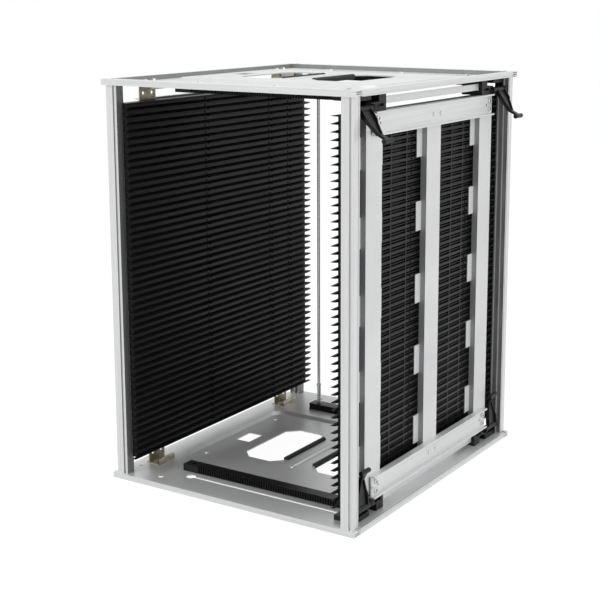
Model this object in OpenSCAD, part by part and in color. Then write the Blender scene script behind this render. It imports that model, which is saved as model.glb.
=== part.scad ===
// Circuit-board magazine rack: a light frame of two stamped plates, edge rails and four posts,
// a fixed wall and a sliding wall of slotted guides, and four lever locks that hold the sliding
// wall on toothed racks. Millimetres, +Z up, origin on the floor under the middle of the rack.
// Open front at -Y, sliding wall at +X.

/* [Frame] */
// Width over the edge rails, left to right
width = 400; // [380:1:460]
// Depth over the edge rails, front to back
depth = 460; // [440:1:520]
// Height of the edge rails
rail_h = 8; // [7:0.5:12]
// Width of the front and rear rails
rail_w = 16; // [15:0.5:22]
// Width of the side rails
side_rail_w = 9; // [8.5:0.5:9.5]
// Width of the rails' lip outside the plates
rail_lip = 7; // [5:0.5:8]
// Wall thickness of the rails
rail_wall = 1.4; // [1:0.1:1.8]
// Thickness of the stamped plates
sheet_t = 1.5; // [1:0.1:2]
// Width of a corner post
post_w = 18; // [17:0.5:24]
// Depth of a corner post
post_d = 14; // [13:0.5:18]
// Side edge of the rack to a post's outer side
post_side = 5; // [3:0.5:8]
// Front or rear edge of the rack to a post's outer face
post_end = 4; // [2:0.5:5]

/* [Plates] */
// Half width of the pressed centre
tray_x = 164; // [140:1:170]
// Half depth of the pressed centre
tray_y = 127; // [110:1:134]
// Depth of the pressed centre
tray_deep = 4; // [2:0.5:4.5]
// Run of the pressed centre's sloped edge
tray_slope = 6; // [3:0.5:10]
// Corner radius of the pressed centre
tray_r = 18; // [8:1:30]
// Half width of the handle strip between the two openings
handle_half = 25; // [20:1:32]
// Width of each large opening
opening_w = 71; // [50:1:78]
// Half depth of each large opening
opening_y = 69; // [40:1:80]
// Chamfer of the openings' corners
opening_cut = 17; // [5:1:22]
// Half length of the stiffening bead
bead_half = 70; // [40:1:90]
// Radius of the stiffening bead
bead_r = 6; // [5:0.5:8]
// Radius of a rubber grip
grip_r = 4; // [3.5:0.1:4.4]
// Half length of a rubber grip
grip_half = 51.5; // [35:0.5:51.5]

/* [Guides] */
// Distance between two board slots
pitch = 10; // [8:0.5:14]
// Board slots in one guide module
slots = 10; // [6:1:12]
// Guide modules on top of each other
rows = 5; // [2:1:6]
// Height of a board slot at its root
slot_h = 3.6; // [2.4:0.1:4]
// Depth of a board slot
slot_depth = 6; // [4:0.5:7]
// Thickness of a guide module behind its slots
guide_t = 8; // [7:0.5:9]
// Play between a guide's back and the posts' inner sides
guide_play = 2; // [1:0.5:3]
// Front or rear edge of the rack to the guides' pointed ends
guide_end = 4.5; // [4.5:0.5:10]
// Length of the ridges' pointed ends
lead_len = 18; // [10:1:26]
// Plates' inner faces to the ends of the guides
guide_gap = 23.5; // [23.5:0.5:30]

/* [Walls] */
// Width of a hat-section strip
strip_w = 39.5; // [38:0.5:46]
// Depth of a hat-section strip
strip_d = 9; // [9:0.5:10]
// Thickness of the strips' sheet
strip_t = 1.5; // [1:0.1:1.6]
// Front or rear edge of the rack to the middle of an end strip
strip_end = 71; // [67:1:76]
// Height of a strip's tabs
tab_h = 40; // [20:1:60]
// Width of a strip's tabs
tab_w = 14; // [8:1:20]
// Height of a cross bar
bar_h = 30; // [26:1:34]
// Front or rear edge of the rack to the end of a cross bar
bar_end = 62; // [60:0.5:64]
// Thickness of a cross bar's web
bar_web = 2; // [1.5:0.1:3]
// Reach of a cross bar's flanges
bar_flange = 5; // [3:0.5:7]
// Height of the feet behind a cross bar's web
bar_foot = 2.5; // [1:0.5:3]
// Plates' inner faces to a cross bar
bar_gap = 22; // [22:0.5:26]

/* [Racks and locks] */
// Front or rear edge of the rack to the plain side of a toothed rack
rack_end = 75; // [73:0.5:78]
// Width of a toothed rack over its teeth
rack_w = 18; // [16:0.5:18]
// Height of a toothed rack
rack_h = 10; // [8:0.5:10]
// Distance between two teeth of a rack
tooth = 4; // [3:0.5:4.5]
// Height of a rack's teeth
tooth_h = 1.8; // [1.2:0.1:1.8]
// Left end of the racks
rack_left = -119; // [-122:0.5:-115]
// Angle of the upper levers at rest, out from straight up or down
lever_open = 34; // [20:1:40]
// Angle of the lower levers at rest
lever_shut = -4; // [-4:1:10]
// Angle at which a lever is locked
lever_lock = -14; // [-16:1:-12]
// Length of a lever's arm
arm_len = 37; // [30:1:45]
// Length of a lever's neck
neck_len = 14; // [10:1:20]
// Bend between a lever's arm and its neck
neck_bend = 30; // [15:1:45]
// Diameter of a lever's knob
knob_d = 6.5; // [5:0.5:9]
// Length of a lever's knob
knob_len = 20; // [14:1:26]

/* [Stop rod] */
// Diameter of the stop rod
rod_d = 5; // [4:0.5:5.5]
// Left end of the racks to the stop rod
rod_in = 13; // [11:0.5:16]
// Free length of the coil spring as fitted
spring_len = 29.5; // [20:0.5:40]
// Wire diameter of the spring
spring_wire = 1; // [0.8:0.1:1.2]
// Turns of the spring
spring_turns = 9; // [6:1:12]

/* [Hidden] */

fit = 0.05;          // radial clearance of a shaft in its bore
play = 0.3;          // clearance between pieces that slide on each other
cut = 1;             // how far a cutting shape reaches past what it cuts
lap = 0.5;           // how far two shapes of one solid run into each other

module_h = pitch * slots;
stack_h = module_h * rows;
height = stack_h + 2 * (guide_gap + rail_h);
half_w = width / 2;
half_d = depth / 2;

// frame
plate_x = half_w - rail_lip;
plate_y = half_d - rail_lip;
plate_z = rail_h - sheet_t;
post_x1 = half_w - post_side;
post_x0 = post_x1 - post_w;
post_y1 = half_d - post_end;
post_y0 = post_y1 - post_d;
core_x = post_x0 + 6;
core_y = post_y1 - 5;
core_d = 4.2;
screw_grip = 14;      // how far a post screw stands in its post
rail_cell = (plate_z - 3 * rail_wall) / 2;
window_w = 24;
window_half = 18;
window_in = 44;        // from a large opening's outer edge to the window's far edge
window_x0 = -handle_half - opening_w - window_in;
floor_hole = [2, 90];  // round holes of the tray, from the window's far edge and from the middle
key_hole = [44, 23];  // round holes of the margin, from a guide's back and from the slots

// walls, measured out from the middle of the rack
guide_back = post_x0 - guide_play;
guide_root = guide_back - guide_t;
guide_tip = guide_root - slot_depth;
guide_y1 = half_d - guide_end;
body_y1 = guide_y1 - lead_len / 2;
guide_z0 = rail_h + guide_gap;
ridge_h = pitch - slot_h;
seam = 0.1;
front_ribs = [58.6, 100, 135, 185];      // upright ribs, from the middle of the rack
front_sight = [46];                      // rows of see-through holes
rear_ribs = [30, 70.7, 105, 150, 185];
rear_sight = [115, 167];
strip_y = half_d - strip_end;
bar_half = half_d - bar_end;
strip_x1 = guide_back + strip_d;
strip_gap = guide_gap + 2.5;
bar_x0 = strip_x1 + bar_foot;
bar_x1 = bar_x0 + bar_web;
bar_mid = rail_h + bar_gap + bar_h / 2;
bar_hole = 6;         // half the distance between a bar's two screws at an end strip
rivet_y = 10;         // half the distance between a bar's two rivets at the middle strip
screw_d = 4;
rivet_d = 3.2;
end_screws = [[0, -bar_hole, screw_d], [0, bar_hole, screw_d]];
middle_rivets = [[-rivet_y, 0, rivet_d], [rivet_y, 0, rivet_d]];
bracket_t = 1.2;
bracket_half = 17;
bracket_up = guide_back + 4;             // inner face of a bracket's upright
bracket_screw_x = guide_back + 0.3;
bracket_screw_y = [strip_y - 9, strip_y + 9];

// racks, locks and levers; heights named _h count from a plate's inner face
rack_y = half_d - rack_end;
rack_y1 = rack_y + rack_w;
rack_right = guide_back + 1;
tooth_tip = tooth * 0.24;
tooth_flank = tooth * 0.15;
gap_mid = (tooth - tooth_tip) / 2;       // from the start of a tooth gap to its middle
tooth_root = rack_y1 - tooth_h;
rack_screw_x = [rack_left + 35, 40, rack_right - 26];
rod_x = rack_left + rod_in;
rod_y = rack_y + rack_w / 2;
travel = tooth * floor((guide_back - rod_x - 25) / tooth);
comb_teeth = 3;       // teeth of a pawl
teeth = travel / tooth + comb_teeth;     // the pawl still finds its gaps at the end of the travel
tooth_x0 = rack_right - teeth * tooth;
foot_x = guide_back + 8;
foot_y = rack_y1 + 13;
foot_d = 4.2;
foot_head = 7.2;
slot_w = foot_d + 2 * play;
key_x = foot_x - travel - 22;
key_d = 14;
pivot_x = guide_back + 13;
pivot_h = 17;
pin_d = 4;
barrel_r = 5;
block_x0 = guide_tip - 5;
block_x1 = pivot_x;
block_y0 = rack_y - 18;
block_y1 = post_y0 - 3.6;
block_h = bar_gap;
block_lift = 0.4;     // a block's gap to the plate
cheek = 3;
slab_h = 7;
block_slot_y = [6, 22];      // slot in a block's outer face, from the block's end
block_slot_h = [13, 16.5];
block_slot_deep = 3;
lever_y1 = block_y1 - cheek - play - 0.1;
lever_y0 = rack_y1 + 7.5;
lever_full = lever_lock + 56;
finger_mid = (lever_lock + lever_full) / 2;
finger_r = 1.2;
finger_reach = 10.5;
finger_y = [rack_y1 + 2, rack_y1 + 6];
pawl_x0 = guide_root - 4;
pawl_x1 = pivot_x - 8.6;
pawl_y0 = tooth_root + 0.4;
pawl_y1 = lever_y0 - 0.4;
pawl_bite = 1.5;      // how deep a locked pawl stands in the rack's height
pawl_h = 4.4;
fork_h = 6.1;
fork_wall = 0.7;
boss_y1 = rack_y1 + 0.6;

// stop rod
rod_z0 = rail_h + 3;
rod_bite = 6;         // how deep the rod stands in the upper rack
collar_z = rail_h + rack_h + spring_len;
collar_d = 8;
spring_r = rod_d / 2 + spring_wire / 2 + 0.4;

alloy = [0.84, 0.85, 0.86];
alloy_dull = [0.72, 0.73, 0.74];
plastic = [0.09, 0.09, 0.1];
zinc = [0.78, 0.72, 0.55];
steel = [0.6, 0.6, 0.62];

// ---------------------------------------------------------------- helpers

// a flat shape drawn in X and Z, drawn out from y0 to y1
module along_y(y0, y1) {
    translate([0, y1, 0]) rotate([90, 0, 0]) linear_extrude(y1 - y0) children();
}

// a flat shape drawn in Y and Z, drawn out from x0 to x1
module along_x(x0, x1) {
    translate([x0, 0, 0]) rotate([90, 0, 90]) linear_extrude(x1 - x0) children();
}

// a flat shape drawn in X and Y, drawn up from z0 to z1
module along_z(z0, z1) {
    translate([0, 0, z0]) linear_extrude(z1 - z0) children();
}

// a rod or bore along X, Y or Z
module rod_along_x(d, x0, x1) {
    translate([x0, 0, 0]) rotate([0, 90, 0]) cylinder(d = d, h = x1 - x0, $fn = 48);
}
module rod_along_y(d, y0, y1) {
    translate([0, y1, 0]) rotate([90, 0, 0]) cylinder(d = d, h = y1 - y0, $fn = 48);
}
module rod_along_z(d, z0, z1) {
    translate([0, 0, z0]) cylinder(d = d, h = z1 - z0, $fn = 48);
}

// rectangle from corner to corner
module span(x0, y0, x1, y1) {
    translate([x0, y0]) square([x1 - x0, y1 - y0]);
}

// what is drawn for the right, rear or base side, moved to the other one
module side(s) { mirror([s < 0 ? 1 : 0, 0, 0]) children(); }
module end(s) { mirror([0, s < 0 ? 1 : 0, 0]) children(); }
module level(s) {
    if (s < 0) children();
    else translate([0, 0, height]) mirror([0, 0, 1]) children();
}

// ---------------------------------------------------------------- plates

// the solid form of the pressed centre, from its floor up to the plate's margin
module tray_form(grow, z0, z1) {
    hull() for (b = [[tray_slope, tray_r, z0], [0, tray_r + tray_slope, z1 - 0.01]],
            sx = [-1, 1], sy = [-1, 1])
        translate([sx * (tray_x + grow - b[0] - b[1]), sy * (tray_y + grow - b[0] - b[1]), b[2]])
            cylinder(r = b[1], h = 0.01, $fn = 32);
}

// one large opening with cut corners
module opening_2d() {
    x0 = handle_half;
    x1 = handle_half + opening_w;
    y = opening_y;
    c = opening_cut;
    polygon([
        [x0, -y + c], [x0 + c, -y], [x1 - c, -y], [x1, -y + c],
        [x1, y - c], [x1 - c, y], [x0 + c, y], [x0, y - c]
    ]);
}

// a round-ended bar with ball ends along Y, for the stiffening bead
module bead(r, z) {
    translate([0, 0, z]) {
        rod_along_y(2 * r, -bead_half, bead_half);
        for (s = [-1, 1]) translate([0, s * bead_half, 0]) sphere(r = r, $fn = 48);
    }
}

// cuts through the margin: rod and screw holes, and the keyholed slots for the wall's feet
module margin_holes_2d() {
    for (s = [-1, 1]) {
        translate([rod_x, s * rod_y]) circle(d = rod_d + 1, $fn = 32);
        translate([key_x, s * foot_y]) circle(d = key_d, $fn = 48);
        translate([0, s * foot_y]) span(key_x, -slot_w / 2, foot_x, slot_w / 2);
        translate([foot_x, s * foot_y]) circle(d = slot_w, $fn = 32);
        translate([key_hole[0] - guide_back, s * (foot_y + key_hole[1])]) circle(d = 8, $fn = 32);
        translate([-post_x0 - 6, s * (foot_y + 4)]) circle(d = 6, $fn = 32);
        for (x = rack_screw_x) translate([x, s * rod_y]) circle(d = screw_d + 2 * fit, $fn = 32);
        for (y = bracket_screw_y) translate([-bracket_screw_x, s * y])
            circle(d = screw_d + 2 * fit, $fn = 32);
        for (t = [-1, 1]) translate([t * core_x, s * core_y]) circle(d = core_d + 2 * fit, $fn = 32);
    }
}

// cuts through the pressed centre: the two openings, a small window and two round holes
module floor_holes_2d() {
    for (s = [-1, 1]) {
        mirror([s < 0 ? 1 : 0, 0]) opening_2d();
        translate([window_x0 - floor_hole[0], s * floor_hole[1]]) circle(d = 6, $fn = 32);
    }
    span(window_x0, -window_half, window_x0 + window_w, window_half);
}

// stamped plate with its pressed centre, as the base plate lies
module plate() {
    floor_z = plate_z - tray_deep;
    difference() {
        union() {
            difference() {
                along_z(plate_z, rail_h) span(-plate_x, -plate_y, plate_x, plate_y);
                tray_form(-sheet_t, floor_z + sheet_t, rail_h + 0.02);
                along_z(plate_z - cut, rail_h + cut) margin_holes_2d();
            }
            difference() {
                tray_form(0, floor_z, rail_h);
                tray_form(-sheet_t, floor_z + sheet_t, rail_h + 0.02);
                along_z(floor_z - cut, floor_z + sheet_t + cut) floor_holes_2d();
            }
            intersection() {
                bead(bead_r, floor_z + sheet_t - bead_r + 3);
                along_z(floor_z, floor_z + sheet_t + bead_r)
                    span(-handle_half, -tray_y, handle_half, tray_y);
            }
        }
        bead(bead_r - sheet_t, floor_z + sheet_t - bead_r + 3);
    }
}

module base_plate() { color(alloy) level(-1) plate(); }
module top_plate() { color(alloy) level(1) plate(); }

// black rubber grip: a rod slit for the edge of the sheet
module grips() {
    floor_z = plate_z - tray_deep;
    for (s = [-1, 1]) side(s)
        along_y(-grip_half, grip_half) difference() {
            translate([handle_half, grip_r + 0.6]) circle(r = grip_r, $fn = 40);
            span(handle_half - grip_r - cut, floor_z - fit, handle_half + fit, floor_z + sheet_t + fit);
        }
}

module base_grips() { color(plastic) level(-1) grips(); }
module top_grips() { color(plastic) level(1) grips(); }

// ---------------------------------------------------------------- rails

// section of a front or rear rail: x is the distance in from the outer face, y the height
module rail_section() {
    w = rail_wall;
    difference() {
        polygon([
            [0, 0], [rail_w, 0], [rail_w, plate_z], [rail_lip, plate_z], [rail_lip, rail_h], [0, rail_h]
        ]);
        for (k = [0, 1]) translate([w, w + k * (rail_cell + w)]) square([rail_w - 2 * w, rail_cell]);
    }
}

// section of a side rail, with a fine groove along its outer face
module side_rail_section() {
    difference() {
        polygon([
            [0, 0], [side_rail_w, 0], [side_rail_w, plate_z], [rail_lip, plate_z],
            [rail_lip, rail_h], [0, rail_h]
        ]);
        translate([-cut, rail_h - 2.6]) square([cut + 0.8, 0.9]);
    }
}

module front_rail() {
    difference() {
        along_x(-half_w, half_w) translate([-half_d, 0]) rail_section();
        for (s = [-1, 1]) translate([s * core_x, -core_y, 0]) {
            rod_along_z(core_d + 2 * fit, -cut, rail_h + cut);
            rod_along_z(8.4, -cut, rail_wall + rail_cell);
        }
    }
}

module side_rail() {
    along_y(-(half_d - rail_w), half_d - rail_w) translate([half_w, 0]) mirror([1, 0])
        side_rail_section();
}

module base_rail_front() { color(alloy) level(-1) front_rail(); }
module base_rail_rear() { color(alloy) level(-1) end(-1) front_rail(); }
module base_rail_left() { color(alloy) level(-1) side(-1) side_rail(); }
module base_rail_right() { color(alloy) level(-1) side(1) side_rail(); }
module top_rail_front() { color(alloy) level(1) front_rail(); }
module top_rail_rear() { color(alloy) level(1) end(-1) front_rail(); }
module top_rail_left() { color(alloy) level(1) side(-1) side_rail(); }
module top_rail_right() { color(alloy) level(1) side(1) side_rail(); }

// ---------------------------------------------------------------- posts

// section of a post; x runs from its left side, y in from its outer face. The flat stands left
// and the grooved edge right on every post; core is where the screw's bore lies across it.
module post_section(core) {
    edge = 3;
    channel = 3.6;
    rib = 2;
    difference() {
        square([post_w, post_d]);
        translate([post_w - edge - 3.5, -cut]) square([3.5, cut + 1.9]);
        translate([post_w - 1, post_d - 3.4]) square([1 + cut, 1]);
        translate([-cut, post_d - 6]) square([cut + 2, 2.4]);
        for (k = [0, 1]) translate([k == 0 ? 1.6 : (post_w + rib) / 2, post_d - channel])
            square([(post_w - rib) / 2 - 1.6, channel + cut]);
        translate([core, post_y1 - core_y]) circle(d = core_d, $fn = 32);
    }
}

module post(sx, sy) {
    x0 = sx > 0 ? post_x0 : -post_x1;
    end(-sy) translate([x0, -post_y1, 0]) along_z(rail_h, height - rail_h)
        post_section(sx * core_x - x0);
}

module post_front_left() { color(alloy) post(-1, -1); }
module post_front_right() { color(alloy) post(1, -1); }
module post_rear_left() { color(alloy) post(-1, 1); }
module post_rear_right() { color(alloy) post(1, 1); }

// screws sunk in the rails, through rails and plates into the posts
module post_screws() {
    color(steel) for (lv = [-1, 1], sx = [-1, 1], sy = [-1, 1])
        level(lv) translate([sx * core_x, sy * core_y, 0]) {
            rod_along_z(core_d - 2 * fit, 1, rail_h + screw_grip);
            rod_along_z(8, 0.3, rail_wall + rail_cell);
        }
}

// ---------------------------------------------------------------- toothed racks

module rack_outline() {
    polygon(concat(
        [[rack_left, rack_y], [rack_left, rack_y1], [tooth_x0, rack_y1]],
        [for (k = [0 : teeth - 1]) let (x = tooth_x0 + k * tooth, x1 = x + tooth - tooth_tip) each [
            [x + tooth_flank, tooth_root], [x1 - tooth_flank, tooth_root],
            [x1, rack_y1], [x + tooth, rack_y1]
        ]],
        [[rack_right, rack_y]]
    ));
}

module rack() {
    top = rail_h + rack_h;
    difference() {
        along_z(rail_h, top) rack_outline();
        translate([rod_x, rod_y, 0]) rod_along_z(rod_d + 3 * fit, rail_h - cut, top + cut);
        for (x = rack_screw_x) translate([x, rod_y, 0])
            rod_along_z(screw_d + 2 * fit, rail_h - cut, top - 2);
    }
}

module base_rack_front() { color(plastic) level(-1) end(-1) rack(); }
module base_rack_rear() { color(plastic) level(-1) end(1) rack(); }
module top_rack_front() { color(plastic) level(1) end(-1) rack(); }
module top_rack_rear() { color(plastic) level(1) end(1) rack(); }

// hexagon-headed screws that hold racks and brackets on the plates
module plate_screw(grip) {
    head_h = 3.4;
    rod_along_z(screw_d, plate_z - head_h / 2, plate_z + grip);
    translate([0, 0, plate_z - head_h]) cylinder(d = 7, h = head_h, $fn = 6);
}

module plate_screws() {
    color(steel) for (lv = [-1, 1], s = [-1, 1]) level(lv) end(s) {
        for (x = rack_screw_x) translate([x, rod_y, 0]) plate_screw(sheet_t + rack_h - 3);
        for (y = bracket_screw_y) translate([-bracket_screw_x, y, 0]) plate_screw(sheet_t + 2.6);
    }
}

// ---------------------------------------------------------------- stop rod

module stop_rod() {
    color(steel) translate([rod_x, rod_y, 0]) {
        rod_along_z(rod_d, rod_z0, height - rail_h - rack_h + rod_bite);
        rod_along_z(collar_d, collar_z, collar_z + 3);
    }
}

// round wire swept along a helix from the rack up to the rod's collar
module stop_spring() {
    sides = 8;
    steps = 14;
    n = spring_turns * steps;
    z0 = rail_h + rack_h + spring_wire / 2;
    z1 = collar_z - spring_wire / 2;
    function ring(i) = [for (j = [0 : sides - 1])
        let (a = 360 * i / steps, b = 360 * j / sides,
             r = spring_r + spring_wire / 2 * cos(b))
        [r * cos(a), r * sin(a), z0 + (z1 - z0) * i / n + spring_wire / 2 * sin(b)]];
    points = [for (i = [0 : n]) each ring(i)];
    walls = [for (i = [0 : n - 1], j = [0 : sides - 1])
        let (a = i * sides + j, b = i * sides + (j + 1) % sides)
        each [[a, a + sides, b + sides], [a, b + sides, b]]];
    caps = [[for (j = [0 : sides - 1]) j], [for (j = [sides - 1 : -1 : 0]) n * sides + j]];
    color(steel) translate([rod_x, rod_y, 0]) polyhedron(points, concat(walls, caps));
}

// ---------------------------------------------------------------- slotted guides

// ridges between the board slots of one module, flat on top and sloped below
module ridge_section() {
    intersection() {
        span(guide_tip - cut, seam, guide_root + lap, module_h - seam);
        for (k = [0 : slots]) translate([0, k * pitch]) polygon([
            [guide_root + lap, ridge_h / 2], [guide_root, ridge_h / 2],
            [guide_tip, -ridge_h * 0.06], [guide_tip, -ridge_h * 0.26],
            [guide_root, -ridge_h / 2], [guide_root + lap, -ridge_h / 2]
        ]);
    }
}

// the same ridges seen from the side, running out to a point
module ridge_plan() {
    for (k = [0 : slots]) translate([0, k * pitch]) polygon([
        [-cut, ridge_h / 2], [guide_y1 - lead_len, ridge_h / 2], [guide_y1, 0.4], [guide_y1, -0.4],
        [guide_y1 - lead_len, -ridge_h / 2], [-cut, -ridge_h / 2]
    ]);
}

// plate behind the ridges, with a groove behind each slot
module guide_body_section() {
    groove_h = pitch * 0.62;
    difference() {
        span(guide_root, seam, guide_back, module_h - seam);
        for (k = [0 : slots - 1]) translate([guide_back - guide_t + 3.2, (k + 0.5) * pitch - groove_h / 2])
            square([guide_t, groove_h]);
    }
}

// one module of the rear column: ribs and sight are distances from the middle of the rack
module guide_module(ribs, sight) {
    rib_t = 2.6;
    difference() {
        union() {
            along_y(seam, body_y1) guide_body_section();
            intersection() {
                along_y(seam, guide_y1) ridge_section();
                along_x(guide_tip - cut, guide_root + 2 * lap) ridge_plan();
            }
            for (y = concat([seam + rib_t / 2, body_y1 - rib_t / 2], ribs))
                translate([guide_root + lap, y - rib_t / 2, seam])
                    cube([guide_t - lap, rib_t, module_h - 2 * seam]);
        }
        for (y = sight) along_x(guide_tip - cut, guide_back + cut)
            for (k = [0 : 2 * slots - 2]) translate([y - 1.7, (k + 1) * pitch / 2 - 1.2])
                square([3.4, 2.4]);
    }
}

module guide_column(ribs, sight) {
    for (row = [0 : rows - 1]) translate([0, 0, guide_z0 + row * module_h])
        guide_module(ribs, sight);
}

module fixed_guides_front() { color(plastic) side(-1) end(-1) guide_column(front_ribs, front_sight); }
module fixed_guides_rear() { color(plastic) side(-1) end(1) guide_column(rear_ribs, rear_sight); }
module sliding_guides_front() { color(plastic) end(-1) guide_column(front_ribs, front_sight); }
module sliding_guides_rear() { color(plastic) guide_column(rear_ribs, rear_sight); }

// ---------------------------------------------------------------- strips and cross bars

// hat-section strip at y, with a tab each side on every guide module
module strip(y, screws) {
    x0 = guide_back;
    z0 = rail_h + strip_gap;
    difference() {
        union() {
            translate([0, y, 0]) along_z(z0, height - z0) difference() {
                span(x0, -strip_w / 2, strip_x1, strip_w / 2);
                span(x0 - cut, -strip_w / 2 + strip_t, strip_x1 - strip_t, strip_w / 2 - strip_t);
            }
            for (row = [0 : rows - 1], s = [-1, 1])
                translate([x0, y, guide_z0 + (row + 0.5) * module_h - tab_h / 2]) end(s)
                    translate([0, strip_w / 2 - lap, 0]) cube([strip_t, tab_w + lap, tab_h]);
        }
        for (lv = [-1, 1]) level(lv) for (p = screws)
            translate([0, y + p[0], bar_mid + p[1]])
                rod_along_x(p[2] + 2 * fit, strip_x1 - strip_t - cut, strip_x1 + cut);
    }
}

module fixed_strip_front() { color(alloy) side(-1) strip(-strip_y, end_screws); }
module fixed_strip_middle() { color(alloy) side(-1) strip(0, middle_rivets); }
module fixed_strip_rear() { color(alloy) side(-1) strip(strip_y, end_screws); }
module sliding_strip_front() { color(alloy) strip(-strip_y, end_screws); }
module sliding_strip_middle() { color(alloy) strip(0, middle_rivets); }
module sliding_strip_rear() { color(alloy) strip(strip_y, end_screws); }

// section of a cross bar: web, flanges turned outwards and two feet on the strips
module bar_section() {
    t = bar_web;
    translate([0, bar_mid]) {
        span(bar_x0, -bar_h / 2, bar_x1, bar_h / 2);
        for (s = [-1, 1]) scale([1, s]) {
            span(bar_x0, bar_h / 2 - t, bar_x1 + bar_flange, bar_h / 2);
            span(strip_x1, bar_h / 2 - t, bar_x0 + lap, bar_h / 2);
        }
    }
}

module cross_bar() {
    difference() {
        along_y(-bar_half, bar_half) bar_section();
        for (y = [-strip_y, strip_y]) {
            for (p = end_screws) translate([0, y + p[0], bar_mid + p[1]])
                rod_along_x(p[2] + 2 * fit, bar_x0 - cut, bar_x1 + cut);
            for (s = [-1, 1]) translate([0, y + s * 7.5, bar_mid])
                rod_along_x(3.2, bar_x0 - cut, bar_x1 + cut);
        }
        for (p = middle_rivets) translate([0, p[0], bar_mid + p[1]])
            rod_along_x(p[2] + 2 * fit, bar_x0 - cut, bar_x1 + cut);
    }
}

module fixed_bar_base() { color(alloy) side(-1) level(-1) cross_bar(); }
module fixed_bar_top() { color(alloy) side(-1) level(1) cross_bar(); }
module sliding_bar_base() { color(alloy) level(-1) cross_bar(); }
module sliding_bar_top() { color(alloy) level(1) cross_bar(); }

// screws at the end strips and rivets at the middle strip
module wall_screws() {
    for (lv = [-1, 1]) level(lv) {
        for (y = [-strip_y, strip_y], p = end_screws) translate([0, y + p[0], bar_mid + p[1]]) {
            rod_along_x(screw_d, guide_back + 2.5, bar_x1 + 1);
            rod_along_x(7, bar_x1, bar_x1 + 2);
        }
        for (p = middle_rivets) translate([0, p[0], bar_mid + p[1]]) {
            rod_along_x(rivet_d, strip_x1 - strip_t - 0.6, bar_x1 + 0.6);
            rod_along_x(6, bar_x1, bar_x1 + 1.2);
            rod_along_x(5, strip_x1 - strip_t - 1.2, strip_x1 - strip_t);
        }
    }
}

module fixed_wall_screws() { color(steel) side(-1) wall_screws(); }
module sliding_wall_screws() { color(steel) wall_screws(); }

// ---------------------------------------------------------------- folded brackets of the fixed wall

// section of a bracket: foot on the plate, outer wall with a rolled edge, a second roll, and
// the upright that screws to the bar. x is measured out from the middle of the rack.
module bracket_section() {
    roll_r = 2.4;
    x_in = block_x0 + 4;
    z0 = rail_h;
    span(x_in, z0, bracket_up + 6, z0 + bracket_t);
    span(x_in, z0, x_in + bracket_t, z0 + 6);
    span(bracket_up, z0, bracket_up + bracket_t, bar_mid + bar_hole + 5);
    for (c = [[x_in + roll_r, z0 + 6], [x_in + 3.4 * roll_r, z0 + bracket_t + roll_r - 0.3]])
        translate(c) difference() {
            circle(r = roll_r, $fn = 32);
            circle(r = roll_r - 0.9, $fn = 32);
        }
}

module bracket() {
    difference() {
        along_y(strip_y - bracket_half, strip_y + bracket_half) bracket_section();
        for (p = end_screws) translate([0, strip_y + p[0], bar_mid + p[1]])
            rod_along_x(p[2] + 2 * fit, bracket_up - cut, bracket_up + bracket_t + cut);
        for (s = [-1, 1]) translate([0, strip_y + s * 9, rail_h + 14])
            rod_along_x(5, bracket_up - cut, bracket_up + bracket_t + cut);
        for (y = bracket_screw_y) translate([bracket_screw_x, y, 0])
            rod_along_z(screw_d + 2 * fit, rail_h - cut, rail_h + bracket_t + cut);
        // the upright's free edge dips between its two corners
        translate([0, strip_y, bar_mid + bar_hole + 13])
            rod_along_x(20, bracket_up - cut, bracket_up + bracket_t + cut);
    }
}

module bracket_base_front() { color(zinc) level(-1) side(-1) end(-1) bracket(); }
module bracket_base_rear() { color(zinc) level(-1) side(-1) end(1) bracket(); }
module bracket_top_front() { color(zinc) level(1) side(-1) end(-1) bracket(); }
module bracket_top_rear() { color(zinc) level(1) side(-1) end(1) bracket(); }

// ---------------------------------------------------------------- lock blocks

// All lock pieces are drawn for the rear end of the base; z is given from the plate's face.
module lock_place() { translate([0, 0, rail_h]) children(); }

module lock_block() {
    tongue_x0 = guide_back + 1;
    tongue_x1 = strip_x1 - strip_t - play;
    lever_x0 = pawl_x1 - 5.4;
    lock_place() difference() {
        union() {
            along_y(block_y0, boss_y1) span(block_x0, block_lift, block_x1, block_h);
            along_y(block_y0, block_y1) span(block_x0, block_lift, block_x1, slab_h);
            along_y(boss_y1 - lap, lever_y0 + 2) span(block_x0, block_lift, lever_x0, block_h);
            along_y(block_y1 - cheek, block_y1) span(pawl_x0 + 13, block_lift, block_x1, block_h);
            for (y = [[bar_half + 2 * play, boss_y1], [block_y1 - cheek, block_y1]])
                along_y(y[0], y[1]) translate([pivot_x, pivot_h]) circle(r = barrel_r, $fn = 48);
            // tongue behind the cross bar, inside the strip
            along_y(strip_y - 11, bar_half)
                span(tongue_x0, block_h - lap, tongue_x1, block_h + bar_h / 2 + bar_hole + 4);
        }
        // channel for the rack, along the whole travel
        along_y(rack_y - 2 * play, rack_y1 + 2 * play)
            span(block_x0 - cut, -cut, block_x1 + barrel_r, rack_h + 2 * play);
        // chamber of the pawl
        along_y(pawl_y0 - play, pawl_y1 + play)
            span(pawl_x0 - play, slab_h, pawl_x1 + 2 * play, block_h + cut);
        // room for the lever's barrel and finger
        along_y(boss_y1 - 0.01, block_y1 - cheek)
            span(lever_x0, slab_h, block_x1 + cut, block_h + cut);
        // slot in the outer face
        along_y(block_y0 + block_slot_y[0], block_y0 + block_slot_y[1])
            span(block_x1 - block_slot_deep, block_slot_h[0], block_x1 + cut, block_slot_h[1]);
        translate([pivot_x, 0, pivot_h])
            rod_along_y(pin_d + 2 * fit, bar_half - 2, block_y1 + cut);
        for (p = end_screws) translate([0, strip_y + p[0], bar_mid - rail_h + p[1]])
            rod_along_x(p[2] + 2 * fit, tongue_x0 - cut, tongue_x1 + cut);
        translate([foot_x, foot_y, 0]) rod_along_z(foot_d + 2 * fit, -cut, slab_h - 1.5);
    }
}

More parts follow.
